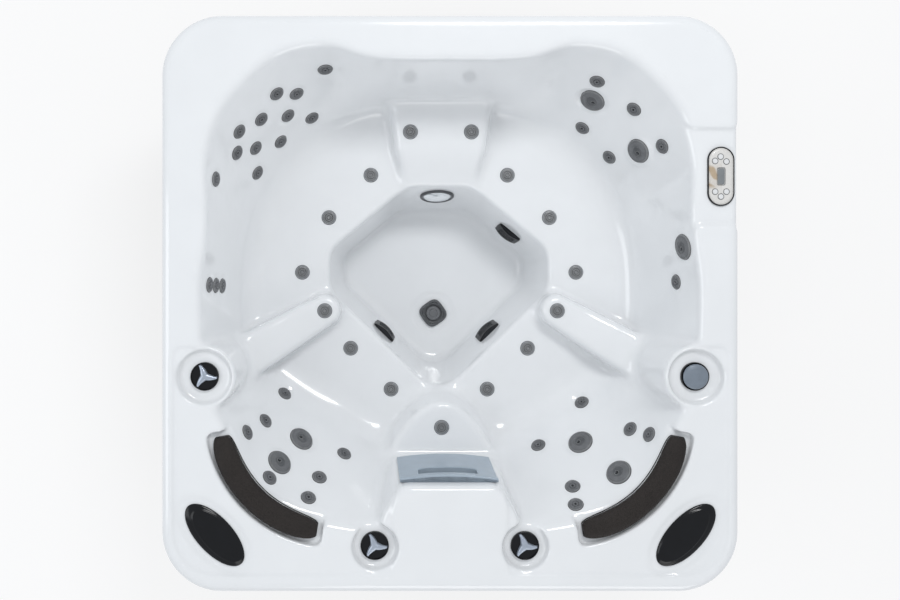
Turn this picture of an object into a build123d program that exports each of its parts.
"""A square hot tub for five, built the way the real one is: a moulded shell with its fittings,
a frame and cabinet round it, and the pump, heater and pipes that work it.
Millimetres, +Z up, origin on the floor under the tub's centre. The control panel is on the +X side,
and the skimmer and the access panel are on the -Y side."""
from build123d import *
import os
from math import asin, atan2, cos, degrees, hypot, radians, sin

# The whole tub
TUB_WIDTH = 2000.0
TUB_LENGTH = 2000.0
TUB_HEIGHT = 880.0
CORNER_RADIUS = 210.0

# The moulded shell
WALL = 10.0
DECK_THICK = 18.0
SKIRT_HEIGHT = 70.0
RIM_ROLL = 22.0
SEAT_DEPTH = 460.0
FLOOR_DEPTH = 760.0
CENTRE_SEAT_DEPTH = 380.0
ARM_TIP_DEPTH = 375.0
ARM_ROOT_DEPTH = 305.0
STEP_DEPTH = 350.0
LIP_WIDTH = 42.0
LIP_HEIGHT = 7.0
FOOT_FILLET = 60.0
FLOOR_FILLET = 35.0

# Right half of the basin's outline at the deck and at the seats, from the back's middle to the front's.
# The points of the two lists pair up, and straight lines down the wall join each pair.
DECK_OUTLINE = [(0, 845), (160, 845), (290, 856), (430, 897), (590, 872), (715, 778), (810, 655),
                (850, 500), (845, 350), (848, 220), (866, 80), (866, -60), (858, -200), (835, -330),
                (771, -465), (709, -610), (588, -721), (431, -771), (300, -790), (150, -800), (0, -800)]
SEAT_OUTLINE = [(0, 735), (140, 735), (255, 722), (370, 672), (475, 600), (565, 510), (640, 405),
                (695, 300), (730, 200), (745, 110), (748, 20), (748, -70), (740, -150), (715, -220),
                (660, -275), (580, -330), (490, -385), (400, -435), (300, -500), (160, -560), (0, -590)]
FOOT_OUTLINE = [(133, 430), (430, 184), (430, 28), (47, -346)]
FLOOR_OUTLINE = [(143, 343), (372, 150), (372, 48), (45, -278)]

# Deck fittings
SIDE_VALVE = (852.0, -254.0)
FRONT_VALVE = (261.0, -842.0)
SIDE_RECESS_RADIUS = 97.0
FRONT_RECESS_RADIUS = 82.0
RECESS_DEPTH = 35.0
VALVE_RADIUS = 49.5
VALVE_BARREL_RADIUS = 30.0
VALVE_LENGTH = 110.0
CAP_RADIUS = 44.0
SPEAKER = (815.0, -800.0)
SPEAKER_TILT = 47.0
SPEAKER_LONG = 137.0
SPEAKER_SHORT = 62.5
SPEAKER_MARGIN = 30.0
DISH_DEPTH = 12.0
DRIVER_RADIUS = 42.0
DRIVER_LENGTH = 62.0
SPEAKER_RISE = 40.0
PILLOW_CENTRE = (398.0, -392.0)
PILLOW_RADIUS = 400.0
PILLOW_WIDTH = 98.0
PILLOW_START = 8.0
PILLOW_END = 83.0
PILLOW_CROWN = 48.0
LEDGE_DEPTH = 38.0
PIN_RADIUS = 5.0
PANEL_EDGE_GAP = 65.0
PANEL_Y = 440.0
PANEL_WIDTH = 93.0
PANEL_LENGTH = 205.0
PANEL_RECESS_DEPTH = 12.0
PANEL_RECESS_Y = (272.0, 605.0)
BUTTON_RADIUS = 9.0
BUTTON_TRAVEL = 1.0
BUTTON_PLACES = [(-2, 68), (-21, 53), (18, 51), (-21, -53), (-1, -70), (18, -53)]

# Jets: place on the wall in mm, as x, y and depth under the deck
SMALL_JET_RADIUS = 26.0
LARGE_JET_RADIUS = 45.0
AIR_JET_RADIUS = 27.0
SMALL_BARREL = 15.0
LARGE_BARREL = 31.0
JET_LENGTH = 42.0
SPOTFACE = 0.8
RUNNING = 0.08
BACK_LEFT_JETS = [(-436, 831, 131), (-610, 746, 147), (-542, 754, 198), (-669, 659, 181), (-577, 682, 256),
                  (-492, 684, 335), (-743, 609, 136), (-756, 537, 176), (-695, 561, 245), (-609, 593, 321),
                  (-696, 475, 319), (-821, 436, 92)]
LEFT_WALL_JETS = [(-841, 62, 88), (-829, 58, 146), (-812, 54, 204)]
BACK_RIGHT_JETS = [(540, 788, 146), (672, 690, 144), (533, 647, 344), (635, 536, 346), (770, 556, 136)]
RIGHT_WALL_JETS = [(826, 70, 152)]
FRONT_LEFT_JETS = [(-599, -367, 397), (-658, -444, 240), (-713, -466, 127), (-369, -576, 292),
                   (-632, -620, 84), (-458, -636, 168), (-494, -689, 86)]
FRONT_RIGHT_JETS = [(544, -402, 402), (673, -467, 196), (717, -471, 114), (363, -552, 330),
                    (451, -662, 138), (448, -711, 75)]
LARGE_JETS = [(541, 731, 226), (716, 551, 228), (831, 196, 84), (-531, -521, 275), (-604, -582, 150),
              (511, -532, 275), (611, -608, 112)]
SEAT_AIR_JETS = [(-267, 477), (267, 477), (-431, 311), (431, 311), (-535, 97), (535, 97),
                 (-346, -200), (346, -200), (-188, -360), (188, -360)]
CENTRE_SEAT_AIR_JETS = [(-117, 637), (117, 637)]
ARM_TIP = (445.0, -48.0)
ARM_ROOT = (800.0, -255.0)
ARM_TIP_RADIUS = 53.0
ARM_ROOT_RADIUS = 84.0
STEP_JET = (0.0, -490.0)

# Footwell fittings
DRAIN = (0.0, -82.0)
DRAIN_SIDE = 100.0
DRAIN_TURN = 36.0
SUCTIONS = [(301, 261, 620), (-216, -153, 620), (216, -153, 620)]
SUCTION_WIDTH = 105.0
SUCTION_HEIGHT = 80.0
LIGHT = (0.0, 400.0, 560.0)
LIGHT_RADIUS = 68.0

# Skimmer, in the front wall
FRONT_WALL_TOP = -632.0
FRONT_WALL_FOOT = -592.0
SKIMMER_WIDTH = 345.0
SKIMMER_HEIGHT = 250.0
SKIMMER_MID_DEPTH = 172.0
SKIMMER_MOUTH = 220.0
SKIMMER_MOUTH_HEIGHT = 216.0
SKIMMER_BOX_LENGTH = 132.0
SKIMMER_PLANE = -650.0
SLOT_WIDTH = 210.0
SLOT_HEIGHT = 66.0
SLOT_RISE = 62.0
CARTRIDGE_RADIUS = 54.0
CARTRIDGE_HEIGHT = 124.0

# Cabinet and frame
CABINET_INSET = 40.0
PANEL_THICK = 12.0
CABINET_CORNER = 180.0
RAIL = 40.0
BASE_THICK = 20.0
PANEL_TOP_GAP = 55.0
RAIL_TOP_GAP = 70.0
BRACKET = 6.0
SCREW_RADIUS = 3.0

# Equipment, standing on the base pan in the front bay
PUMP_X = -330.0
PUMP_Y = -690.0
PUMP_AXIS_HEIGHT = 130.0
MOTOR_RADIUS = 80.0
MOTOR_LENGTH = 250.0
VOLUTE_RADIUS = 104.0
VOLUTE_LENGTH = 84.0
PUMP_PORT = 36.0
PUMP_OUTLET = 20.0
SHAFT_RADIUS = 9.0
PIPE_RADIUS = 24.0
BOX_SIZE = (300.0, 100.0, 240.0)
BOX_PLACE = (240.0, -830.0)
HEATER_RADIUS = 34.0
HEATER_LENGTH = 300.0
HEATER_PLACE = (430.0, -690.0)
HEATER_HEIGHT = 80.0
BLOWER_PLACE = (-690.0, -560.0)
BLOWER_RADIUS = 78.0
BLOWER_HEIGHT = 150.0

DECK = TUB_HEIGHT
HALF_X = TUB_WIDTH / 2
HALF_Y = TUB_LENGTH / 2
SIDES = (-1, 1)


def level(depth):
    """Height over the floor of a place that lies this far under the deck."""
    return DECK - depth


def flipped(points, side):
    """Points of the right half, mirrored to the left where side is -1."""
    return [(side * x, y) for x, y in points]


def closed_outline(half):
    """Whole outline from its right half, clockwise from the back's middle. Points on the middle line
    aren't repeated."""
    left = [(-x, y) for x, y in reversed(half) if x > 0]
    return half + left


def grown(points, amount):
    """Outline moved outwards by an amount, each corner along its mitre."""
    result = []
    count = len(points)
    for i, (x, y) in enumerate(points):
        x0, y0 = points[i - 1]
        x1, y1 = points[(i + 1) % count]
        before = hypot(x - x0, y - y0)
        after = hypot(x1 - x, y1 - y)
        ax, ay = -(y - y0) / before, (x - x0) / before
        bx, by = -(y1 - y) / after, (x1 - x) / after
        share = amount / (1 + ax * bx + ay * by)
        result.append((x + (ax + bx) * share, y + (ay + by) * share))
    return result


def between(top, bottom, share):
    """Outline that lies a share of the way from one outline to its pair."""
    return [(a + (c - a) * share, b + (d - b) * share) for (a, b), (c, d) in zip(top, bottom)]


def polygon(points, z):
    return Wire.make_polygon([Vector(x, y, z) for x, y in points], close=True)


def prism(points, low, high):
    return Solid.extrude(Face(polygon(points, low)), Vector(0, 0, high - low))


def frustum(low_points, low, high_points, high):
    return Solid.make_loft([polygon(low_points, low), polygon(high_points, high)], ruled=True)


def box(x0, x1, y0, y1, z0, z1):
    return Solid.make_box(x1 - x0, y1 - y0, z1 - z0, Plane((x0, y0, z0)))


def cylinder(x, y, radius, low, high):
    return Solid.make_cylinder(radius, high - low, Plane((x, y, low)))


def cone(x, y, low_radius, high_radius, low, high):
    return Solid.make_cone(low_radius, high_radius, high - low, Plane((x, y, low)))


def rounded_box(half_x, half_y, radius, low, high):
    """Upright box with rounded upright edges, centred on the origin."""
    block = box(-half_x, half_x, -half_y, half_y, low, high)
    return block.fillet(radius, block.edges().filter_by(Axis.Z))


def turned(profile):
    """Solid of revolution about Z from a closed list of radius and height pairs."""
    wire = Wire.make_polygon([Vector(r, 0, z) for r, z in profile], close=True)
    return Solid.revolve(Face(wire), 360, Axis.Z)


def sector(centre, inner, outer, start, end, low, high):
    """Part of a ring between two angles, in degrees, as an upright solid."""
    def at(radius, angle):
        a = radians(angle)
        return Vector(centre[0] + radius * cos(a), centre[1] + radius * sin(a), low)
    middle = (start + end) / 2
    wire = Wire([
        Edge.make_three_point_arc(at(outer, start), at(outer, middle), at(outer, end)),
        Edge.make_line(at(outer, end), at(inner, end)),
        Edge.make_three_point_arc(at(inner, end), at(inner, middle), at(inner, start)),
        Edge.make_line(at(inner, start), at(outer, start)),
    ])
    return Solid.extrude(Face(wire), Vector(0, 0, high - low))


def oval(centre, tilt, long_radius, short_radius, z):
    plane = Plane((centre[0], centre[1], z), x_dir=(cos(radians(tilt)), sin(radians(tilt)), 0), z_dir=(0, 0, 1))
    return Wire([Edge.make_ellipse(long_radius, short_radius, plane)])


def oval_block(centre, tilt, long_radius, short_radius, low, high):
    return Solid.extrude(Face(oval(centre, tilt, long_radius, short_radius, low)), Vector(0, 0, high - low))


def stadium(centre, width, length, low, high):
    """Upright block with two half-round ends, long along Y."""
    block = box(centre[0] - width / 2, centre[0] + width / 2, centre[1] - length / 2, centre[1] + length / 2,
                low, high)
    return block.fillet(width / 2 - 0.01, block.edges().filter_by(Axis.Z))


def largest(shape):
    return max(shape.solids(), key=lambda solid: solid.volume)


def save(node, *solids):
    export_step(Compound(list(solids)), f"parts/{node}.step")


# The shell's surfaces

DECK_LOOP = closed_outline(DECK_OUTLINE)
SEAT_LOOP = closed_outline(SEAT_OUTLINE)


def smooth_wire(points, z):
    """Closed smooth curve through the points, one cubic span to each pair of neighbours. Its direction at
    a point is that from the point before to the one after, so two outlines pair up span by span."""
    places = [Vector(x, y, z) for x, y in points]
    count = len(places)
    turns = [(places[(i + 1) % count] - places[i - 1]) / 6 for i in range(count)]
    spans = []
    for i in range(count):
        j = (i + 1) % count
        spans.append(Edge.make_bezier(places[i], places[i] + turns[i], places[j] - turns[j], places[j]))
    return Wire(spans)


def basin_block(grow, top_depth, bottom_depth):
    """The space of the basin between two depths, grown outwards by an amount."""
    top = grown(between(DECK_LOOP, SEAT_LOOP, top_depth / SEAT_DEPTH), grow)
    bottom = grown(between(DECK_LOOP, SEAT_LOOP, bottom_depth / SEAT_DEPTH), grow)
    return Solid.make_loft([smooth_wire(bottom, level(bottom_depth)), smooth_wire(top, level(top_depth))],
                           ruled=True)


def foot_block(grow, top_depth, bottom_depth):
    """The space of the footwell between two depths, with round corners and a round floor edge."""
    top_loop = closed_outline(FOOT_OUTLINE)
    bottom_loop = closed_outline(FLOOR_OUTLINE)
    deep = FLOOR_DEPTH - SEAT_DEPTH
    top = grown(between(top_loop, bottom_loop, (top_depth - SEAT_DEPTH) / deep), grow)
    bottom = grown(between(top_loop, bottom_loop, (bottom_depth - SEAT_DEPTH) / deep), grow)
    block = frustum(bottom, level(bottom_depth), top, level(top_depth))
    low, high = level(bottom_depth), level(top_depth)
    upright = [e for e in block.edges() if low + 1 < e.center().Z < high - 1]
    block = block.fillet(FOOT_FILLET + grow, upright)
    floor_edges = [e for e in block.edges() if e.center().Z < low + 0.5]
    return largest(block.fillet(FLOOR_FILLET + grow, floor_edges))


CAVITY = basin_block(0, -10, SEAT_DEPTH)
FOOTWELL = foot_block(0, SEAT_DEPTH - 8, FLOOR_DEPTH)
BASIN_HULL = basin_block(WALL, 0, SEAT_DEPTH + WALL)
LAND_LIMIT = basin_block(WALL / 2, 0, SEAT_DEPTH + WALL - 2)
FOOT_HULL = foot_block(WALL, SEAT_DEPTH, FLOOR_DEPTH + WALL)
WALL_FACES = [face for face in CAVITY.faces() if abs(face.normal_at().Z) < 0.9]
FOOT_FACES = [face for face in FOOTWELL.faces() if abs(face.normal_at().Z) < 0.9]


def seat_plane(faces, place, sink=SPOTFACE):
    """Plane of a fitting's seat: on the nearest wall, facing the water, its X level."""
    target = Vector(place[0], place[1], level(place[2]))
    near = sorted(faces, key=lambda candidate: (candidate.center() - target).length)[:5]
    face = min(near, key=lambda candidate: candidate.distance_to(target))
    spot = face.closest_points(target)[0]
    inward = face.normal_at(spot) * -1
    across = Vector(0, 0, 1).cross(inward)
    return Plane(origin=spot - inward * sink, x_dir=across, z_dir=inward)


def level_plane(place, depth, sink=SPOTFACE):
    return Plane(origin=(place[0], place[1], level(depth + sink)))


SMALL_PLANES = [seat_plane(WALL_FACES, place) for place in
                BACK_LEFT_JETS + LEFT_WALL_JETS + BACK_RIGHT_JETS + RIGHT_WALL_JETS + FRONT_LEFT_JETS
                + FRONT_RIGHT_JETS]
LARGE_PLANES = [seat_plane(WALL_FACES, place) for place in LARGE_JETS]
AIR_PLANES = ([level_plane(place, SEAT_DEPTH) for place in SEAT_AIR_JETS]
              + [level_plane(place, CENTRE_SEAT_DEPTH) for place in CENTRE_SEAT_AIR_JETS]
              + [level_plane((side * ARM_TIP[0], ARM_TIP[1]), ARM_TIP_DEPTH) for side in SIDES]
              + [level_plane(STEP_JET, STEP_DEPTH)])
SUCTION_PLANES = [seat_plane(FOOT_FACES, place) for place in SUCTIONS]
LIGHT_PLANE = seat_plane(FOOT_FACES, LIGHT)
FLOOR_PLANE = level_plane(DRAIN, FLOOR_DEPTH)


def front_wall_y(depth):
    """Y of the skimmer wall's face at a depth."""
    return FRONT_WALL_TOP + (FRONT_WALL_FOOT - FRONT_WALL_TOP) * depth / STEP_DEPTH


WALL_RUN = hypot(FRONT_WALL_FOOT - FRONT_WALL_TOP, STEP_DEPTH)
FRONT_NORMAL = Vector(0, STEP_DEPTH / WALL_RUN, (FRONT_WALL_FOOT - FRONT_WALL_TOP) / WALL_RUN)
FRONT_MID = Vector(0, front_wall_y(SKIMMER_MID_DEPTH), level(SKIMMER_MID_DEPTH))
SKIMMER_FACE = Plane(origin=FRONT_MID, x_dir=(-1, 0, 0), z_dir=FRONT_NORMAL)
PANEL_CENTRE = (HALF_X - PANEL_EDGE_GAP, PANEL_Y)
PANEL_FLOOR = level(PANEL_RECESS_DEPTH)


# The lands that stand up inside the basin

def centre_seat():
    """Raised seat at the back's middle: level on top, sloping down to the footwell's edge."""
    edge_y = FOOT_OUTLINE[0][1]
    back = 860.0
    front_of_top = 570.0
    low = level(SEAT_DEPTH + 5)
    profile = [(edge_y, level(SEAT_DEPTH)), (front_of_top, level(CENTRE_SEAT_DEPTH)),
               (back, level(CENTRE_SEAT_DEPTH)), (back, low), (edge_y, low)]
    wire = Wire.make_polygon([Vector(-300, y, z) for y, z in profile], close=True)
    bar = Solid.extrude(Face(wire), Vector(600, 0, 0))
    plan = closed_outline([(206, back), (166, front_of_top), (121, edge_y)])
    wide = closed_outline([(226, back), (190, front_of_top), (141, edge_y)])
    tapered = frustum(wide, low, plan, level(CENTRE_SEAT_DEPTH - 10))
    return bar & tapered & LAND_LIMIT


def tangent_hull(tip, tip_radius, root, root_radius, z):
    """Outline round two circles and the two straight lines that touch both."""
    run = hypot(root[0] - tip[0], root[1] - tip[1])
    heading = atan2(root[1] - tip[1], root[0] - tip[0])
    lean = asin((root_radius - tip_radius) / run)
    spread = radians(90) + lean

    def at(centre, radius, angle):
        return Vector(centre[0] + radius * cos(angle), centre[1] + radius * sin(angle), z)
    a, b = heading + spread, heading - spread
    return Wire([
        Edge.make_line(at(root, root_radius, b), at(tip, tip_radius, b)),
        Edge.make_three_point_arc(at(tip, tip_radius, b), at(tip, tip_radius, heading + radians(180)),
                                  at(tip, tip_radius, a)),
        Edge.make_line(at(tip, tip_radius, a), at(root, root_radius, a)),
        Edge.make_three_point_arc(at(root, root_radius, a), at(root, root_radius, heading),
                                  at(root, root_radius, b)),
    ])


def arm(side):
    """Armrest from the side wall to the footwell's corner, rising towards the wall."""
    tip = (side * ARM_TIP[0], ARM_TIP[1])
    root = (side * ARM_ROOT[0], ARM_ROOT[1])
    flare = 12.0
    low = level(SEAT_DEPTH + 5)
    high = level(ARM_ROOT_DEPTH - 5)
    body = Solid.make_loft([tangent_hull(tip, ARM_TIP_RADIUS + flare, root, ARM_ROOT_RADIUS + flare, low),
                            tangent_hull(tip, ARM_TIP_RADIUS, root, ARM_ROOT_RADIUS, high)], ruled=True)
    run = hypot(root[0] - tip[0], root[1] - tip[1])
    along = Vector((root[0] - tip[0]) / run, (root[1] - tip[1]) / run, 0)
    start = Vector(tip[0], tip[1], 0) - along * 90
    profile = [(0, low), (run + 200, low), (run + 200, level(ARM_ROOT_DEPTH)),
               (run + 90, level(ARM_ROOT_DEPTH)), (150, level(ARM_TIP_DEPTH)), (0, level(ARM_TIP_DEPTH))]
    across = along.cross(Vector(0, 0, 1))
    corner = start - across * 150
    wire = Wire.make_polygon([corner + along * s + Vector(0, 0, z) for s, z in profile], close=True)
    slab = Solid.extrude(Face(wire), across * 300)
    return body & slab & LAND_LIMIT


def step():
    """Front step: a parabola in plan, with a level top and sloping sides."""
    def parabola(half, reach, z):
        a, b = Vector(-half, FRONT_WALL_FOOT - 8, z), Vector(half, FRONT_WALL_FOOT - 8, z)
        return Wire([Edge.make_bezier(a, Vector(0, reach, z), b), Edge.make_line(b, a)])
    return Solid.make_loft([parabola(256, -106, level(SEAT_DEPTH + 5)), parabola(206, -198, level(STEP_DEPTH))],
                           ruled=True)


def filter_block():
    """Front land that runs from the deck down to the step and holds the skimmer."""
    top_y, foot_y = front_wall_y(-3), front_wall_y(SEAT_DEPTH + 5)
    top = closed_outline([(175, top_y), (230, top_y - 98), (262, top_y - 183)])
    foot = closed_outline([(206, foot_y), (262, foot_y - 98), (300, foot_y - 190)])
    return frustum(foot, level(SEAT_DEPTH + 5), top, level(-3)) & LAND_LIMIT


def recess_pilaster(side):
    """Round pier that carries a side valve's recess out over the basin."""
    pier = cone(side * SIDE_VALVE[0], SIDE_VALVE[1], SIDE_RECESS_RADIUS + 26, SIDE_RECESS_RADIUS + WALL,
                level(ARM_ROOT_DEPTH + 15), level(-3))
    return pier & LAND_LIMIT


# The deck's recesses, each as the block added under the deck and the space cut from it

def valve_cup(x, y, radius):
    outer = cylinder(x, y, radius + WALL - 1, level(RECESS_DEPTH + WALL), level(DECK_THICK / 2))
    space = cone(x, y, radius - 8, radius + 1, level(RECESS_DEPTH), level(-4))
    return outer, space


def speaker_cup(side):
    centre = (side * SPEAKER[0], SPEAKER[1])
    long_radius = SPEAKER_LONG + SPEAKER_MARGIN
    short_radius = SPEAKER_SHORT + SPEAKER_MARGIN * 0.8
    tilt = side * SPEAKER_TILT
    outer = oval_block(centre, tilt, long_radius + 4, short_radius + 4, level(DISH_DEPTH + WALL),
                       level(DECK_THICK / 2))
    space = oval_block(centre, tilt, long_radius, short_radius, level(DISH_DEPTH), level(-4))
    return outer, space


def mirrored_angles(side):
    if side > 0:
        return -PILLOW_END, -PILLOW_START
    return 180 + PILLOW_START, 180 + PILLOW_END


def pillow_ledge(side):
    centre = (side * PILLOW_CENTRE[0], PILLOW_CENTRE[1])
    start, end = mirrored_angles(side)
    inner = PILLOW_RADIUS - PILLOW_WIDTH / 2 - 2
    outer_radius = PILLOW_RADIUS + PILLOW_WIDTH / 2 + 2
    outer = sector(centre, inner, outer_radius + WALL, start - 2, end + 2, level(LEDGE_DEPTH + WALL),
                   level(DECK_THICK / 2))
    space = sector(centre, inner, outer_radius, start - 0.5, end + 0.5, level(LEDGE_DEPTH), level(-4))
    return outer, space


def sunken_corner(side):
    """Shallow sunken part of a front corner's deck, inside the raised lip."""
    outer_x = HALF_X - LIP_WIDTH
    outer_y = -(HALF_Y - LIP_WIDTH - 22)
    points = [(outer_x, -150), (outer_x, outer_y), (195, outer_y), (195, -760), (860, -150)]
    block = prism(flipped(points, side), level(LIP_HEIGHT), level(-4))
    corner = [e for e in block.edges().filter_by(Axis.Z)
              if abs(abs(e.center().X) - outer_x) < 1 and abs(e.center().Y - outer_y) < 1]
    return block.fillet(CORNER_RADIUS - LIP_WIDTH, corner)


def shell():
    """The moulded shell: deck, rolled rim, basin, footwell and every recess and hole."""
    rim = rounded_box(HALF_X, HALF_Y, CORNER_RADIUS, level(SKIRT_HEIGHT), level(0))
    rim = rim.fillet(RIM_ROLL, [e for e in rim.edges() if e.center().Z > level(1)])
    under = rounded_box(HALF_X - WALL, HALF_Y - WALL, CORNER_RADIUS - WALL, level(SKIRT_HEIGHT + 1),
                        level(DECK_THICK))
    body = rim - under + BASIN_HULL + FOOT_HULL

    cups = [valve_cup(side * SIDE_VALVE[0], SIDE_VALVE[1], SIDE_RECESS_RADIUS) for side in SIDES]
    cups += [valve_cup(side * FRONT_VALVE[0], FRONT_VALVE[1], FRONT_RECESS_RADIUS) for side in SIDES]
    cups += [speaker_cup(side) for side in SIDES]
    cups += [pillow_ledge(side) for side in SIDES]
    panel_pad = box(PANEL_CENTRE[0] - 55, HALF_X - WALL, PANEL_RECESS_Y[0] - 5, PANEL_RECESS_Y[1] + 5,
                    level(PANEL_RECESS_DEPTH + WALL), level(DECK_THICK / 2))
    body = body + [outer for outer, space in cups] + panel_pad
    body = body - CAVITY - FOOTWELL
    lands = [centre_seat(), step(), filter_block()]
    lands += [arm(side) for side in SIDES] + [recess_pilaster(side) for side in SIDES]
    body = body + lands

    panel_space = box(PANEL_CENTRE[0] - 110, HALF_X - 16, PANEL_RECESS_Y[0], PANEL_RECESS_Y[1], PANEL_FLOOR,
                      level(-4))
    spaces = [space for outer, space in cups] + [panel_space] + [sunken_corner(side) for side in SIDES]
    spaces += [cylinder(side * SIDE_VALVE[0], SIDE_VALVE[1], SIDE_RECESS_RADIUS - WALL,
                        level(ARM_ROOT_DEPTH), level(RECESS_DEPTH + WALL)) for side in SIDES]
    front_room = box(-SKIMMER_MOUTH / 2 - 24, SKIMMER_MOUTH / 2 + 24, SKIMMER_PLANE - 200, SKIMMER_PLANE,
                     level(STEP_DEPTH - 20), level(DECK_THICK))
    mouth = box(-SKIMMER_MOUTH / 2, SKIMMER_MOUTH / 2, SKIMMER_PLANE - 20, SKIMMER_PLANE + 120,
                level(SKIMMER_MID_DEPTH + SKIMMER_MOUTH_HEIGHT / 2), level(SKIMMER_MID_DEPTH - SKIMMER_MOUTH_HEIGHT / 2))
    body = largest(body - spaces - front_room - mouth)
    return largest(body - fitting_holes())


def fitting_holes():
    """Every hole and flat seat that a fitting needs in the shell."""
    holes = []
    for planes, radius, barrel in ((SMALL_PLANES, SMALL_JET_RADIUS, SMALL_BARREL),
                                   (LARGE_PLANES, LARGE_JET_RADIUS, LARGE_BARREL),
                                   (AIR_PLANES, AIR_JET_RADIUS, SMALL_BARREL)):
        for plane in planes:
            holes.append(turned([(0, -120), (barrel + 0.1, -120), (barrel + 0.1, 0), (radius + 0.6, 0),
                                 (radius + 0.6, 20), (0, 20)]).moved(plane.location))
    for plane in SUCTION_PLANES:
        holes.append(Solid.make_cylinder(26.1, 60, Plane((0, 0, -40))).moved(plane.location))
        holes.append(Solid.make_box(SUCTION_WIDTH + 1, SUCTION_HEIGHT + 1, 20,
                                    Plane((-SUCTION_WIDTH / 2 - 0.5, -SUCTION_HEIGHT / 2 - 0.5, 0)))
                     .moved(plane.location))
    holes.append(turned([(0, -60), (42.1, -60), (42.1, 0), (LIGHT_RADIUS + 0.6, 0), (LIGHT_RADIUS + 0.6, 20),
                         (0, 20)]).moved(LIGHT_PLANE.location))
    holes.append(turned([(0, -60), (30.1, -60), (30.1, 0), (DRAIN_SIDE * 0.72, 0), (DRAIN_SIDE * 0.72, 20),
                         (0, 20)]).moved(FLOOR_PLANE.location))
    for x, y in [SIDE_VALVE, FRONT_VALVE]:
        for side in SIDES:
            holes.append(cylinder(side * x, y, VALVE_BARREL_RADIUS + 0.1, level(RECESS_DEPTH + 40), level(0)))
    for side in SIDES:
        holes.append(cylinder(side * SPEAKER[0], SPEAKER[1], DRIVER_RADIUS + 1, level(60), level(0)))
        for x, y in pin_places(side):
            holes.append(cylinder(x, y, PIN_RADIUS + 0.05, level(LEDGE_DEPTH + 30), level(0)))
    holes.append(box(PANEL_CENTRE[0] - 33, PANEL_CENTRE[0] + 33, PANEL_Y - 82, PANEL_Y + 82, level(60), level(0)))
    return holes


# Jets

def small_jet_body():
    return turned([(0, -JET_LENGTH), (SMALL_BARREL, -JET_LENGTH), (SMALL_BARREL, 0), (SMALL_JET_RADIUS, 0),
                   (SMALL_JET_RADIUS, 2.6), (SMALL_JET_RADIUS - 1.6, 4.2), (SMALL_JET_RADIUS - 3.6, 4.2),
                   (SMALL_JET_RADIUS - 3.6, 1.2), (11, 1.2), (11, -30), (0, -30)])


def small_jet_face():
    """Turned grey face with a raised ring and a nozzle hole."""
    edge = SMALL_JET_RADIUS - 4.0
    return turned([(4.2, -12), (10.7, -12), (10.7, 1.2), (edge, 1.2), (edge, 3.8), (edge - 1.2, 4.8),
                   (12.4, 5.6), (11.2, 4.6), (9.6, 4.6), (8.6, 5.4), (6.2, 4.4), (4.2, 2.0)])


def air_jet_body():
    return turned([(0, -JET_LENGTH), (SMALL_BARREL, -JET_LENGTH), (SMALL_BARREL, 0), (AIR_JET_RADIUS, 0),
                   (AIR_JET_RADIUS, 2.4), (AIR_JET_RADIUS - 1.8, 4.0), (AIR_JET_RADIUS - 3.6, 4.0),
                   (AIR_JET_RADIUS - 3.6, 1.2), (9, 1.2), (9, -30), (0, -30)])


def air_jet_cap():
    """Low cap with two rings and a screw head in the middle."""
    edge = AIR_JET_RADIUS - 4.0
    cap = turned([(0, -14), (8.8, -14), (8.8, 1.2), (edge, 1.2), (edge, 3.6), (edge - 1.4, 4.8), (15.4, 5.4),
                  (14.6, 4.2), (12.6, 4.2), (11.8, 5.6), (7.4, 6.2), (6.6, 4.8), (5.2, 4.8), (4.4, 6.0), (0, 6.2)])
    slot = box(-3.4, 3.4, -0.5, 0.5, 5.2, 8)
    return cap - slot


def large_jet_body():
    rim = LARGE_JET_RADIUS
    return turned([(0, -JET_LENGTH - 16), (LARGE_BARREL, -JET_LENGTH - 16), (LARGE_BARREL, 0), (rim, 0),
                   (rim, 3.6), (rim - 2.2, 5.6), (rim - 5, 5.6), (rim - 5, 1.6), (24, 1.6), (24, -40), (0, -40)])


def large_jet_face():
    """Face that turns in its body, with a raised ring and an off-centre nozzle in the hub."""
    edge = LARGE_JET_RADIUS - 5.4
    disc = turned([(0, -24), (24 - RUNNING, -24), (24 - RUNNING, 1.9), (edge, 1.9), (edge, 5.2),
                   (edge - 1.8, 6.6), (25, 8.4), (23.4, 6.6), (20.6, 6.6), (19, 8.6), (13, 9.4), (0, 9.4)])
    nozzle = Solid.make_cylinder(7.0, 60, Plane((6.5, 0, -30)))
    throat = Solid.make_cone(7.0, 10.5, 4.2, Plane((6.5, 0, 5.4)))
    thumb = Solid.make_cylinder(3.2, 6, Plane((-8.5, 0, 6.9)))
    return largest(disc - nozzle - throat - thumb)


# Footwell fittings

def drain_square(side, low, high, corner):
    block = box(-side / 2, side / 2, -side / 2, side / 2, low, high)
    return block.fillet(corner, block.edges().filter_by(Axis.Z))


def drain_body():
    """Square floor suction plate with a round well."""
    place = FLOOR_PLANE.location * Location((0, 0, 0), (0, 0, 1), DRAIN_TURN)
    plate = drain_square(DRAIN_SIDE, 0, 13, 24)
    plate = plate.chamfer(5, None, [e for e in plate.edges() if e.center().Z > 12.9])
    groove = turned([(40, 11), (43, 11), (43, 14), (40, 14)])
    well = turned([(0, 3), (36, 3), (36, 14), (0, 14)])
    barrel = turned([(22, -40), (30, -40), (30, 1), (22, 1)])
    bore = turned([(0, -41), (22, -41), (22, 4), (0, 4)])
    spider = [Solid.make_box(44, 5, 4, Plane((-22, -2.5, -3))).rotate(Axis.Z, angle) for angle in (0, 90)]
    post = Solid.make_cylinder(5, 8, Plane((0, 0, -3)))
    body = (plate + barrel) - groove - well - bore
    body = body + spider + post
    return largest(body).moved(place)


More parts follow.
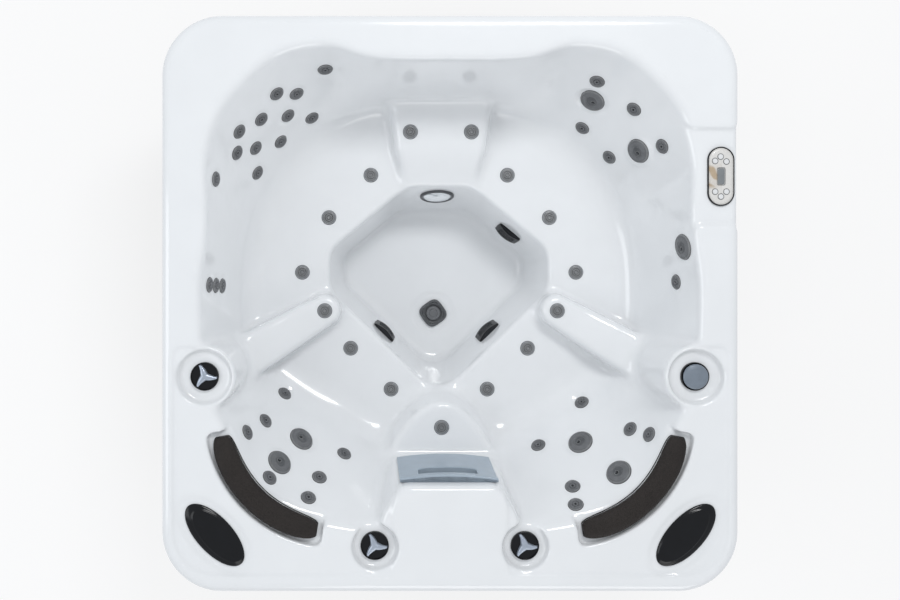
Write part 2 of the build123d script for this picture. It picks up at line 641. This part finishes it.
def drain_cap():
    """Round cap that turns on the post of the floor suction."""
    place = FLOOR_PLANE.location * Location((0, 0, 0), (0, 0, 1), DRAIN_TURN)
    cap = turned([(0, 5.3), (26, 5.3), (29, 8), (29, 12), (26, 15), (8, 16.5), (0, 16.5)])
    ring = turned([(16, 13), (18, 13), (18, 18), (16, 18)])
    return (cap - ring).moved(place)


def suction_body():
    return turned([(19, -48), (26, -48), (26, 4), (19, 4)])


def suction_cover():
    """Curved slotted cover that stands off the footwell's wall."""
    w, h = SUCTION_WIDTH, SUCTION_HEIGHT
    bow = Wire([Edge.make_line((-w / 2, -h / 2, 0), (w / 2, -h / 2, 0)),
                Edge.make_line((w / 2, -h / 2, 0), (w / 2, -h / 2, 7)),
                Edge.make_three_point_arc((w / 2, -h / 2, 7), (0, -h / 2, 19), (-w / 2, -h / 2, 7)),
                Edge.make_line((-w / 2, -h / 2, 7), (-w / 2, -h / 2, 0))])
    block = Solid.extrude(Face(bow), Vector(0, h, 0))
    block = block.fillet(12, [e for e in block.edges() if abs(abs(e.center().X) - w / 2) < 0.5
                              and abs(abs(e.center().Y) - h / 2) < 0.5])
    hollow = turned([(0, -1), (26.3, -1), (26.3, 5), (0, 5)])
    slots = [box(-w / 2 + 18, w / 2 - 18, y - 1.6, y + 1.6, -1, 30) for y in (-24, -16, -8, 0, 8, 16, 24)]
    return largest(block - hollow - slots)


def light_housing():
    r = LIGHT_RADIUS
    return turned([(0, -52), (42, -52), (42, 0), (r, 0), (r, 5), (r - 4, 9), (r - 10, 9), (r - 12, 3), (38, 3),
                   (38, -46), (0, -46)])


def light_lens():
    r = LIGHT_RADIUS - 12.3
    return turned([(0, 3), (r, 3), (r, 6), (r - 8, 10), (r - 24, 14), (18, 16), (0, 17)])


# Skimmer

def skimmer_housing():
    half = SKIMMER_MOUTH / 2
    low = level(SKIMMER_MID_DEPTH + SKIMMER_MOUTH_HEIGHT / 2)
    high = level(SKIMMER_MID_DEPTH - SKIMMER_MOUTH_HEIGHT / 2)
    back = SKIMMER_PLANE - SKIMMER_BOX_LENGTH
    outer = box(-half - 9, half + 9, back, SKIMMER_PLANE, low - 9, high + 9)
    inner = box(-half, half, back + 9, SKIMMER_PLANE + 1, low, high)
    outlet = cylinder(0, SKIMMER_PLANE - 64, PIPE_RADIUS + 4, low - 40, low - 8)
    bore = cylinder(0, SKIMMER_PLANE - 64, PIPE_RADIUS, low - 41, low + 1)
    return largest(outer - inner + outlet - bore)


def bowed_plate(half, low, high, edge, bow):
    """Plate bowed towards the water, on the skimmer face's plane."""
    wire = Wire([Edge.make_line((-half, low, 0), (half, low, 0)),
                 Edge.make_line((half, low, 0), (half, low, edge)),
                 Edge.make_three_point_arc((half, low, edge), (0, low, edge + bow), (-half, low, edge)),
                 Edge.make_line((-half, low, edge), (-half, low, 0))])
    return Solid.extrude(Face(wire), Vector(0, high - low, 0))


FLAP_PIN = 2.5


def flap_axis_height():
    return SLOT_RISE + SLOT_HEIGHT / 2 - 8


def skimmer_plate():
    """Bowed front plate of the skimmer, with the weir's slot, a top lip and the cartridge's hanger."""
    half = SKIMMER_WIDTH / 2
    plate = bowed_plate(half, -SKIMMER_HEIGHT / 2, SKIMMER_HEIGHT / 2, 8, 14)
    lip = bowed_plate(half, SKIMMER_HEIGHT / 2 - 26, SKIMMER_HEIGHT / 2, 13, 15)
    slot = box(-SLOT_WIDTH / 2, SLOT_WIDTH / 2, SLOT_RISE - SLOT_HEIGHT / 2, SLOT_RISE + SLOT_HEIGHT / 2, -5, 40)
    slot = slot.fillet(14, slot.edges().filter_by(Axis.Z))
    throat = box(-SLOT_WIDTH / 2 - 0.2, SLOT_WIDTH / 2 + 0.2, SLOT_RISE - SLOT_HEIGHT / 2,
                 SLOT_RISE + SLOT_HEIGHT / 2, -5, 9.5)
    pin_holes = [Solid.make_cylinder(FLAP_PIN + 0.06, 8, Plane((side * (SLOT_WIDTH / 2 + 3.5) - 4,
                 flap_axis_height(), 4), x_dir=(0, 1, 0), z_dir=(1, 0, 0))) for side in SIDES]
    body = plate + lip - slot - throat - pin_holes
    top = cartridge_top() + 6
    placed = largest(body).moved(SKIMMER_FACE.location)
    hanger = box(-15, 15, SKIMMER_PLANE - 64, FRONT_MID.Y + 6, top - 6, top)
    disc = cylinder(0, SKIMMER_PLANE - 64, CARTRIDGE_RADIUS - 12, top - 6, top)
    foot = box(-15, 15, FRONT_MID.Y - 4, FRONT_MID.Y + 5, top - 40, top)
    return largest(placed + hanger + disc + foot)


def cartridge_top():
    return level(SKIMMER_MID_DEPTH + SKIMMER_MOUTH_HEIGHT / 2) + 6 + CARTRIDGE_HEIGHT


def weir_flap():
    """Flap that hangs upright in the skimmer's slot on two stub pins."""
    axis = flap_axis_height()
    half = SLOT_WIDTH / 2 - 1.5
    leaf = box(-half, half, SLOT_RISE - SLOT_HEIGHT / 2 + 2, axis, 2, 6)
    rod = Solid.make_cylinder(4.0, 2 * half, Plane((-half, axis, 4), x_dir=(0, 1, 0), z_dir=(1, 0, 0)))
    pins = Solid.make_cylinder(FLAP_PIN, 2 * half + 14, Plane((-half - 7, axis, 4), x_dir=(0, 1, 0),
                                                              z_dir=(1, 0, 0)))
    lean = degrees(asin(FRONT_NORMAL.Z))
    flap = largest(leaf + rod + pins).rotate(Axis((0, axis, 4), (1, 0, 0)), lean)
    return flap.moved(SKIMMER_FACE.location)


def filter_cartridge():
    """Pleated cartridge with two end caps."""
    low = cartridge_top() - CARTRIDGE_HEIGHT
    y = SKIMMER_PLANE - 64
    core = cylinder(0, y, CARTRIDGE_RADIUS - 7, low, low + CARTRIDGE_HEIGHT)
    caps = [cylinder(0, y, CARTRIDGE_RADIUS, z, z + 9) for z in (low, low + CARTRIDGE_HEIGHT - 9)]
    pleats = [Solid.make_box(6, 3, CARTRIDGE_HEIGHT - 16, Plane((CARTRIDGE_RADIUS - 9, -1.5, low + 8)))
              .rotate(Axis.Z, angle).moved(Location((0, y, 0))) for angle in range(0, 360, 15)]
    return largest(core + caps + pleats)


# Valves on the deck

def valve_body():
    r = VALVE_RADIUS
    return turned([(0, -VALVE_LENGTH), (VALVE_BARREL_RADIUS, -VALVE_LENGTH), (VALVE_BARREL_RADIUS, 0), (r, 0),
                   (r, 9), (r - 1.5, 12), (r - 3.5, 12), (r - 3.5, 4), (12, 4), (12, 7), (8 + RUNNING, 7),
                   (8 + RUNNING, -44), (0, -44)])


def valve_ports():
    """Two stubs on the valve's barrel, in line, for the pipes."""
    return [Solid.make_cylinder(17, 26, Plane((side * 20, 0, -80), x_dir=(0, 1, 0), z_dir=(side, 0, 0)))
            for side in SIDES]


def valve_handle():
    """Three curved spokes on a hub, with a stem that turns in the body."""
    reach = VALVE_RADIUS - 4.6
    outline = Wire([Edge.make_three_point_arc((8, 7, 8), (27, 9, 8), (reach - 1, 4.5, 8)),
                    Edge.make_line((reach - 1, 4.5, 8), (reach - 1, -2.5, 8)),
                    Edge.make_three_point_arc((reach - 1, -2.5, 8), (25, -1.5, 8), (5, -12, 8)),
                    Edge.make_line((5, -12, 8), (-6, 0, 8)),
                    Edge.make_line((-6, 0, 8), (8, 7, 8))])
    spoke = Solid.extrude(Face(outline), Vector(0, 0, 8))
    spokes = [spoke.rotate(Axis.Z, angle) for angle in (-15, 105, 225)]
    hub = turned([(0, -40), (8, -40), (8, 7.4), (14, 7.4), (14, 16), (10, 20), (0, 21)])
    return largest(hub + spokes)


def air_control_cap():
    r = CAP_RADIUS
    shaft = turned([(0, -40), (8, -40), (8, 7.4), (r - 6, 7.4), (r - 6, 12.5), (r, 12.5), (r, 17), (r - 4, 21),
                    (r - 14, 24), (20, 25.5), (0, 26.5)])
    return shaft


VALVES = [(-SIDE_VALVE[0], SIDE_VALVE[1]), (-FRONT_VALVE[0], FRONT_VALVE[1]), FRONT_VALVE, SIDE_VALVE]


def valve_place(index):
    x, y = VALVES[index]
    return Location((x, y, level(RECESS_DEPTH)))


# Pillows and speakers

def pin_places(side):
    result = []
    for share in (0.22, 0.78):
        angle = radians(-(PILLOW_START + (PILLOW_END - PILLOW_START) * share))
        radius = PILLOW_RADIUS + 26
        result.append((side * (PILLOW_CENTRE[0] + radius * cos(angle)), PILLOW_CENTRE[1] + radius * sin(angle)))
    return result


def pillow_section(angle, width, crown):
    """Crowned section of the pillow at one angle: flat below, drawn in at the sides."""
    a = radians(-angle)
    out = Vector(cos(a), sin(a), 0)
    base = Vector(PILLOW_CENTRE[0], PILLOW_CENTRE[1], level(LEDGE_DEPTH - 0.3)) + out * PILLOW_RADIUS
    up = Vector(0, 0, 1)
    half = width / 2

    def at(across, rise):
        return base + out * across + up * rise
    return Wire([Edge.make_line(at(-half + 6, 0), at(half - 6, 0)),
                 Edge.make_three_point_arc(at(half - 6, 0), at(half, crown * 0.36), at(half - 9, crown * 0.74)),
                 Edge.make_three_point_arc(at(half - 9, crown * 0.74), at(0, crown),
                                           at(-half + 9, crown * 0.66)),
                 Edge.make_three_point_arc(at(-half + 9, crown * 0.66), at(-half, crown * 0.32),
                                           at(-half + 6, 0))])


def pillow(side):
    span = PILLOW_END - PILLOW_START
    shares = (0.004, 0.03, 0.1, 0.3, 0.5, 0.7, 0.9, 0.97, 0.996)
    widths = (0.52, 0.78, 0.93, 1.0, 1.0, 1.0, 0.93, 0.78, 0.52)
    crowns = (0.62, 0.8, 0.94, 1.0, 1.0, 1.0, 0.94, 0.8, 0.62)
    sections = [pillow_section(PILLOW_START + span * share, PILLOW_WIDTH * wide, PILLOW_CROWN * tall)
                for share, wide, tall in zip(shares, widths, crowns)]
    body = Solid.make_loft(sections)
    for x, y in pin_places(1):
        body = body - cylinder(x, y, PIN_RADIUS + 0.3, level(LEDGE_DEPTH + 1), level(LEDGE_DEPTH - 16.3))
    body = largest(body)
    return body if side > 0 else body.mirror(Plane.YZ)


def pillow_pin(x, y):
    stem = cylinder(x, y, PIN_RADIUS, level(LEDGE_DEPTH + WALL + 2), level(LEDGE_DEPTH - 14))
    head = cylinder(x, y, PIN_RADIUS + 4, level(LEDGE_DEPTH + WALL + 4), level(LEDGE_DEPTH + WALL))
    return largest(stem + head)


def speaker(side):
    """Gloss oval cover that rises on its driver tube."""
    centre = (side * SPEAKER[0], SPEAKER[1])
    tilt = side * SPEAKER_TILT
    rings = ((0.965, 0.93, 0.0), (1.0, 1.0, 0.45), (0.93, 0.88, 0.8), (0.72, 0.6, 1.0))
    height = DISH_DEPTH + 7
    floor = level(DISH_DEPTH)
    dome = Solid.make_loft([oval(centre, tilt, SPEAKER_LONG * a, SPEAKER_SHORT * b, floor + height * h)
                            for a, b, h in rings])
    tube = cylinder(centre[0], centre[1], DRIVER_RADIUS, level(DISH_DEPTH + DRIVER_LENGTH), level(DISH_DEPTH - 3))
    return largest(dome + tube)


def speaker_housing(side):
    """Cup under the deck that guides the driver tube."""
    x, y = side * SPEAKER[0], SPEAKER[1]
    top = level(DISH_DEPTH + WALL)
    bottom = level(DISH_DEPTH + DRIVER_LENGTH + 8)
    cup = cylinder(x, y, DRIVER_RADIUS + 5, bottom, top) + cylinder(x, y, DRIVER_RADIUS + 12, top - 5, top)
    return largest(cup - cylinder(x, y, DRIVER_RADIUS + RUNNING, bottom + 5, top + 1))


# Control panel

def button_holes(radius, low, high):
    return [cylinder(PANEL_CENTRE[0] + x, PANEL_CENTRE[1] + y, radius, low, high) for x, y in BUTTON_PLACES]


SCREEN = (24.0, 54.0)


def screen_box(margin, low, high):
    x, y = PANEL_CENTRE
    w, h = SCREEN[0] / 2 + margin, SCREEN[1] / 2 + margin
    return box(x - w, x + w, y - h, y + h, low, high)


def panel_housing():
    z = PANEL_FLOOR
    flange = stadium(PANEL_CENTRE, PANEL_WIDTH, PANEL_LENGTH, z, z + 7)
    flange = flange.chamfer(2, None, [e for e in flange.edges() if e.center().Z > z + 6.9])
    pocket = stadium(PANEL_CENTRE, PANEL_WIDTH - 8, PANEL_LENGTH - 8, z + 4, z + 8)
    body = box(PANEL_CENTRE[0] - 32.8, PANEL_CENTRE[0] + 32.8, PANEL_Y - 81.8, PANEL_Y + 81.8, z - 34, z)
    return largest(flange + body - pocket - button_holes(BUTTON_RADIUS + 0.3, z - 4, z + 8))


def panel_face():
    z = PANEL_FLOOR + 4
    plate = stadium(PANEL_CENTRE, PANEL_WIDTH - 8.6, PANEL_LENGTH - 8.6, z, z + 2)
    return largest(plate - button_holes(BUTTON_RADIUS + 0.3, z - 1, z + 3) - screen_box(0, z - 1, z + 3))


def panel_screen():
    z = PANEL_FLOOR + 4
    return screen_box(-0.2, z, z + 1.6)


def panel_button(index):
    x, y = BUTTON_PLACES[index]
    z = PANEL_FLOOR
    cap = turned([(0, -2.4), (BUTTON_RADIUS, -2.4), (BUTTON_RADIUS, 6.6), (BUTTON_RADIUS - 1, 7.8), (0, 8.2)])
    return cap.moved(Location((PANEL_CENTRE[0] + x, PANEL_CENTRE[1] + y, z)))


# Cabinet and frame

CAB_X = HALF_X - CABINET_INSET
CAB_Y = HALF_Y - CABINET_INSET
PANEL_TOP = level(PANEL_TOP_GAP)
RAIL_TOP = level(RAIL_TOP_GAP)
LINE_X = CAB_X - PANEL_THICK - RAIL / 2
LINE_Y = CAB_Y - PANEL_THICK - RAIL / 2
STRAIGHT_X = CAB_X - CABINET_CORNER
STRAIGHT_Y = CAB_Y - CABINET_CORNER


def side_panel(half_length, top=PANEL_TOP):
    """Flat cabinet panel with grooves, its outer face on Y = 0, facing -Y."""
    panel = box(-half_length, half_length, 0, PANEL_THICK, BASE_THICK, top)
    boards = 7
    pitch = (PANEL_TOP - BASE_THICK) / boards
    grooves = [box(-half_length - 1, half_length + 1, -1, 3, BASE_THICK + pitch * i - 2.5,
                   BASE_THICK + pitch * i + 2.5) for i in range(1, boards)]
    return largest(panel - grooves)


def back_panel():
    return side_panel(STRAIGHT_X).rotate(Axis.Z, 180).moved(Location((0, CAB_Y, 0)))


def left_panel():
    return side_panel(STRAIGHT_Y).rotate(Axis.Z, -90).moved(Location((-CAB_X, 0, 0)))


def right_panel():
    return side_panel(STRAIGHT_Y).rotate(Axis.Z, 90).moved(Location((CAB_X, 0, 0)))


def access_panel():
    """Front panel that lifts off, low enough to clear the shell's skirt on its way out."""
    return side_panel(STRAIGHT_X - 0.5, level(SKIRT_HEIGHT + 4)).moved(Location((0, -CAB_Y, 0)))


def corner_cover(sx, sy):
    start = {(1, 1): 0, (-1, 1): 90, (-1, -1): 180, (1, -1): 270}[(sx, sy)]
    return sector((sx * STRAIGHT_X, sy * STRAIGHT_Y), CABINET_CORNER - PANEL_THICK, CABINET_CORNER, start,
                  start + 90, BASE_THICK, PANEL_TOP)


def base_pan():
    pan = rounded_box(CAB_X, CAB_Y, CABINET_CORNER, 0, BASE_THICK)
    return pan.chamfer(4, None, [e for e in pan.edges() if e.center().Z < 0.1])


def frame_rails():
    """Bottom and top rails, the blocks that carry the deck and the corner brackets."""
    half = RAIL / 2
    parts = []
    for low, high in ((BASE_THICK, BASE_THICK + RAIL), (RAIL_TOP - RAIL, RAIL_TOP)):
        for side in SIDES:
            x, y = side * LINE_X, side * LINE_Y
            parts.append(box(x - half, x + half, -STRAIGHT_Y, STRAIGHT_Y, low, high))
            parts.append(box(-STRAIGHT_X, STRAIGHT_X, y - half, y + half, low, high))
    return parts


def deck_blocks():
    half = RAIL / 2
    places = [(side * LINE_X, y) for side in SIDES for y in (650, 0, -560)]
    places += [(x, LINE_Y) for x in (-650, 0, 650)] + [(x, -LINE_Y) for x in (-480, 0, 480)]
    return [box(x - half, x + half, y - half, y + half, RAIL_TOP, level(DECK_THICK)) for x, y in places]


def corner_brackets():
    """Flat plates under the top rails that tie two sides together at each corner."""
    low = RAIL_TOP - RAIL - BRACKET
    inner_x, inner_y = LINE_X - RAIL / 2, LINE_Y - RAIL / 2
    reach = 90.0
    outline = [(inner_x, STRAIGHT_Y - reach), (LINE_X + RAIL / 2, STRAIGHT_Y - reach),
               (LINE_X + RAIL / 2, STRAIGHT_Y), (STRAIGHT_X, LINE_Y + RAIL / 2),
               (STRAIGHT_X - reach, LINE_Y + RAIL / 2), (STRAIGHT_X - reach, inner_y)]
    return [prism([(sx * x, sy * y) for x, y in outline], low, low + BRACKET) for sx in SIDES for sy in SIDES]


def frame_posts():
    half = RAIL / 2
    low, high = BASE_THICK + RAIL, RAIL_TOP - RAIL
    posts = []
    for side in SIDES:
        for shift in (-1, 1):
            y = shift * (STRAIGHT_Y - half)
            x = shift * (STRAIGHT_X - half)
            posts.append(box(side * LINE_X - half, side * LINE_X + half, y - half, y + half, low, high - BRACKET))
            posts.append(box(x - half, x + half, side * LINE_Y - half, side * LINE_Y + half, low, high - BRACKET))
        posts.append(box(side * LINE_X - half, side * LINE_X + half, -half, half, low, high))
    posts.append(box(-half, half, LINE_Y - half, LINE_Y + half, low, high))
    return posts


def floor_cradle():
    """Rigid foam block that carries the footwell's floor, with a way through for the floor fitting."""
    top = level(FLOOR_DEPTH + WALL)
    block = box(-300, 300, -160, 260, BASE_THICK, top)
    way = box(DRAIN[0] - 50, DRAIN[0] + 50, -161, DRAIN[1] + 60, BASE_THICK - 1, top + 1)
    return largest(block - way)


def screw_planes():
    """Places of the screws through the three fixed panels, each facing out."""
    places = []
    for z in (BASE_THICK + RAIL / 2, RAIL_TOP - RAIL / 2):
        for t in (-0.85, 0.1, 0.85):
            places += [Plane(origin=(side * CAB_X, t * STRAIGHT_Y, z), z_dir=(side, 0, 0)) for side in SIDES]
            places.append(Plane(origin=(t * STRAIGHT_X, CAB_Y, z), z_dir=(0, 1, 0)))
    return places


SCREW_LENGTH = PANEL_THICK + 18


def panel_screw(plane):
    screw = turned([(0, -SCREW_LENGTH), (SCREW_RADIUS, -SCREW_LENGTH), (SCREW_RADIUS, 0),
                    (SCREW_RADIUS * 2.2, 0), (SCREW_RADIUS * 2, 2), (0, 2.6)])
    return screw.moved(plane.location)


def screw_holes():
    return [Solid.make_cylinder(SCREW_RADIUS + 0.05, SCREW_LENGTH + 2, Plane((0, 0, -SCREW_LENGTH - 1)))
            .moved(plane.location) for plane in screw_planes()]


# Equipment

PUMP_Z = BASE_THICK + PUMP_AXIS_HEIGHT


def along_x(x, y, z):
    """Place for a solid turned about Z, so that its axis runs along +X from this point."""
    return Plane(origin=(x, y, z), x_dir=(0, 0, 1), z_dir=(1, 0, 0)).location


def pump_motor():
    """Motor with fins, a terminal box and two feet."""
    start = PUMP_X - MOTOR_LENGTH / 2
    r = MOTOR_RADIUS
    body = turned([(0, 0), (r - 14, 0), (r - 4, 10), (r - 4, MOTOR_LENGTH), (SHAFT_RADIUS + RUNNING, MOTOR_LENGTH),
                   (SHAFT_RADIUS + RUNNING, 60), (0, 60)])
    fins = [turned([(r - 5, z), (r, z), (r, z + 5), (r - 5, z + 5)]) for z in range(40, int(MOTOR_LENGTH) - 30, 16)]
    motor = largest(body + fins).moved(along_x(start, PUMP_Y, PUMP_Z))
    feet = [box(start + x, start + x + 36, PUMP_Y - 62, PUMP_Y + 62, BASE_THICK, PUMP_Z - r + 22) for x in (40, 180)]
    terminal = box(PUMP_X - 45, PUMP_X + 45, PUMP_Y - 32, PUMP_Y + 32, PUMP_Z + r - 10, PUMP_Z + r + 34)
    return largest(motor + feet + terminal)


def pump_wet_end():
    """Volute with its suction port in line and its outlet on top."""
    start = PUMP_X + MOTOR_LENGTH / 2
    r = VOLUTE_RADIUS
    body = turned([(SHAFT_RADIUS + RUNNING, 0), (r - 12, 0), (r, 12), (r, VOLUTE_LENGTH - 14), (r - 14, VOLUTE_LENGTH),
                   (PIPE_RADIUS + 8, VOLUTE_LENGTH), (PIPE_RADIUS + 8, VOLUTE_LENGTH + PUMP_PORT),
                   (PIPE_RADIUS, VOLUTE_LENGTH + PUMP_PORT), (PIPE_RADIUS, VOLUTE_LENGTH - 12),
                   (r - 14, VOLUTE_LENGTH - 12),
                   (r - 14, 14), (SHAFT_RADIUS + RUNNING, 14)])
    body = body.moved(along_x(start, PUMP_Y, PUMP_Z))
    mid = start + VOLUTE_LENGTH / 2
    outlet = cylinder(mid, PUMP_Y, PIPE_RADIUS + 8, PUMP_Z + r - 12, PUMP_Z + r + PUMP_OUTLET)
    bore = cylinder(mid, PUMP_Y, PIPE_RADIUS, PUMP_Z + r - 40, PUMP_Z + r + PUMP_OUTLET + 1)
    foot = box(start + 18, start + VOLUTE_LENGTH - 18, PUMP_Y - 46, PUMP_Y + 46, BASE_THICK, PUMP_Z - r + 8)
    return largest(body + outlet + foot - bore)


def pump_rotor():
    """Shaft with its impeller."""
    start = PUMP_X - MOTOR_LENGTH / 2
    face = MOTOR_LENGTH
    profile = [(0, 62), (SHAFT_RADIUS, 62), (SHAFT_RADIUS, face + 22), (62, face + 22), (62, face + 27),
               (20, face + 27), (14, face + 50), (0, face + 50)]
    vanes = [Solid.make_box(44, 4, 16, Plane((17, -2, face + 26))).rotate(Axis.Z, angle)
             for angle in range(0, 360, 60)]
    return largest(turned(profile) + vanes).moved(along_x(start, PUMP_Y, PUMP_Z))


def control_box():
    x, y = BOX_PLACE
    w, d, h = BOX_SIZE
    case = box(x - w / 2, x + w / 2, y - d / 2, y + d / 2, BASE_THICK, BASE_THICK + h)
    case = case.fillet(8, case.edges().filter_by(Axis.Z))
    ribs = [box(x - w / 2 + 20 + 26 * i, x - w / 2 + 30 + 26 * i, y + d / 2 - 1, y + d / 2 + 5,
                BASE_THICK + 40, BASE_THICK + h - 30) for i in range(11)]
    glands = [cylinder(x - w / 2 + 60 + 60 * i, y, 11, BASE_THICK + h - 1, BASE_THICK + h + 16) for i in range(4)]
    return largest(case + ribs + glands)


def heater():
    """Heater tube along X on two saddles, with an element head on top."""
    x, y = HEATER_PLACE
    z = BASE_THICK + HEATER_HEIGHT
    start = x - HEATER_LENGTH / 2
    r = HEATER_RADIUS
    tube = turned([(PIPE_RADIUS, 0), (r + 8, 0), (r + 8, 14), (r, 14), (r, HEATER_LENGTH - 14),
                   (r + 8, HEATER_LENGTH - 14), (r + 8, HEATER_LENGTH), (PIPE_RADIUS, HEATER_LENGTH)])
    tube = tube.moved(along_x(start, y, z))
    saddles = [box(start + s, start + s + 24, y - 30, y + 30, BASE_THICK, z - r + 8) for s in (50, 226)]
    head = cylinder(x, y, 18, z + r - 6, z + r + 30)
    bore = Solid.make_cylinder(PIPE_RADIUS, HEATER_LENGTH + 2, Plane(origin=(start - 1, y, z), x_dir=(0, 0, 1),
                                                                   z_dir=(1, 0, 0)))
    return largest(tube + saddles + head - bore)


def air_blower():
    x, y = BLOWER_PLACE
    r, h = BLOWER_RADIUS, BLOWER_HEIGHT
    body = turned([(0, 0), (r, 0), (r, 20), (r - 8, 28), (r - 8, h - 40), (r - 20, h - 10), (30, h), (30, h + 30),
                   (24, h + 30), (24, h - 6), (0, h - 6)])
    louvres = [turned([(r - 9, z), (r - 4, z), (r - 4, z + 3), (r - 9, z + 3)]) for z in range(36, int(h) - 44, 9)]
    return largest(body + louvres).moved(Location((x, y, BASE_THICK)))


def bent_pipe(points, bends, radius, bore):
    """Pipe of straight runs and round bends through the points."""
    path = FilletPolyline(*points, radius=bends)
    wire = path.wire() if hasattr(path, "wire") else path
    start = wire.position_at(0)
    plane = Plane(origin=start, z_dir=wire.tangent_at(0))
    outer = Solid.sweep(Face(Wire.make_circle(radius, plane)), wire)
    inner = Solid.sweep(Face(Wire.make_circle(bore, plane)), wire)
    return largest(outer - inner)


PIPE_WALL = 3.0


def pipes():
    """The pipes from the suction fitting to the pump, on to the heater, to the riser, and the air pipe."""
    bore, outside = PIPE_RADIUS, PIPE_RADIUS + PIPE_WALL
    plane = SUCTION_PLANES[2]
    port_x = PUMP_X + MOTOR_LENGTH / 2 + VOLUTE_LENGTH + PUMP_PORT
    suction = bent_pipe([plane.origin - plane.z_dir * 48, plane.origin - plane.z_dir * 170,
                         Vector(port_x + 185, PUMP_Y, PUMP_Z), Vector(port_x, PUMP_Y, PUMP_Z)],
                        [70, 90], outside, bore)
    out_x = PUMP_X + MOTOR_LENGTH / 2 + VOLUTE_LENGTH / 2
    out_z = PUMP_Z + VOLUTE_RADIUS + PUMP_OUTLET
    over_z = level(SEAT_DEPTH) - 60
    heater_z = BASE_THICK + HEATER_HEIGHT
    heater_in = HEATER_PLACE[0] - HEATER_LENGTH / 2
    heater_out = HEATER_PLACE[0] + HEATER_LENGTH / 2
    heater_y = HEATER_PLACE[1]
    pressure = bent_pipe([Vector(out_x, PUMP_Y, out_z), Vector(out_x, PUMP_Y, over_z),
                          Vector(heater_in - 80, heater_y, over_z), Vector(heater_in - 80, heater_y, heater_z),
                          Vector(heater_in, heater_y, heater_z)], [36, 60, 34], outside, bore)
    riser = bent_pipe([Vector(heater_out, heater_y, heater_z), Vector(heater_out + 110, heater_y, heater_z),
                       Vector(heater_out + 110, heater_y, heater_z + 420)], [48], outside, bore)
    x, y = BLOWER_PLACE
    top = BASE_THICK + BLOWER_HEIGHT + 30
    air = bent_pipe([Vector(x, y, top), Vector(x, y, over_z), Vector(x, y + 640, over_z)], [60], outside, bore)
    return [suction, pressure, riser, air]


def cut_all(solid, tools):
    return largest(solid - tools)


def main():
    os.makedirs("parts", exist_ok=True)
    save("shell", shell())
    save("small_jet_bodies", *[small_jet_body().moved(p.location) for p in SMALL_PLANES])
    save("small_jet_faces", *[small_jet_face().moved(p.location) for p in SMALL_PLANES])
    save("air_jet_bodies", *[air_jet_body().moved(p.location) for p in AIR_PLANES])
    save("air_jet_caps", *[largest(air_jet_cap()).moved(p.location) for p in AIR_PLANES])
    save("large_jet_bodies", *[large_jet_body().moved(p.location) for p in LARGE_PLANES])
    for number, plane in enumerate(LARGE_PLANES, start=1):
        save(f"large_jet_face_{number}", large_jet_face().moved(plane.location))

    save("floor_drain_body", drain_body())
    save("floor_drain_cap", drain_cap())
    save("suction_bodies", *[suction_body().moved(p.location) for p in SUCTION_PLANES])
    save("suction_covers", *[suction_cover().moved(p.location) for p in SUCTION_PLANES])
    save("light_housing", light_housing().moved(LIGHT_PLANE.location))
    save("light_lens", light_lens().moved(LIGHT_PLANE.location))

    save("skimmer_housing", skimmer_housing())
    save("skimmer_plate", skimmer_plate())
    save("weir_flap", weir_flap())
    save("filter_cartridge", filter_cartridge())

    body = largest(valve_body() + valve_ports())
    save("valve_bodies", *[body.moved(valve_place(i)) for i in range(4)])
    for i, node in enumerate(("handle_left", "handle_front_left", "handle_front_right")):
        save(node, valve_handle().moved(valve_place(i)))
    save("air_control_cap", air_control_cap().moved(valve_place(3)))

    save("pillow_left", pillow(-1))
    save("pillow_right", pillow(1))
    save("pillow_pins", *[pillow_pin(x, y) for side in SIDES for x, y in pin_places(side)])
    save("speaker_housings", *[speaker_housing(side) for side in SIDES])
    save("speaker_left", speaker(-1))
    save("speaker_right", speaker(1))

    save("panel_housing", panel_housing())
    save("panel_face", panel_face())
    save("panel_screen", panel_screen())
    for i in range(len(BUTTON_PLACES)):
        save(f"panel_button_{i + 1}", panel_button(i))

    holes = screw_holes()
    save("base_pan", base_pan())
    save("floor_cradle", floor_cradle())
    save("frame_rails", *[cut_all(rail, holes) for rail in frame_rails()], *deck_blocks())
    save("frame_posts", *frame_posts(), *corner_brackets())
    save("cabinet_panel_left", cut_all(left_panel(), holes))
    save("cabinet_panel_right", cut_all(right_panel(), holes))
    save("cabinet_panel_back", cut_all(back_panel(), holes))
    save("access_panel", access_panel())
    save("corner_covers", *[corner_cover(sx, sy) for sx in SIDES for sy in SIDES])
    save("panel_screws", *[panel_screw(plane) for plane in screw_planes()])

    save("pump_motor", pump_motor())
    save("pump_wet_end", pump_wet_end())
    save("pump_rotor", pump_rotor())
    save("heater", heater())
    save("control_box", control_box())
    save("air_blower", air_blower())
    save("pipes", *pipes())


main()
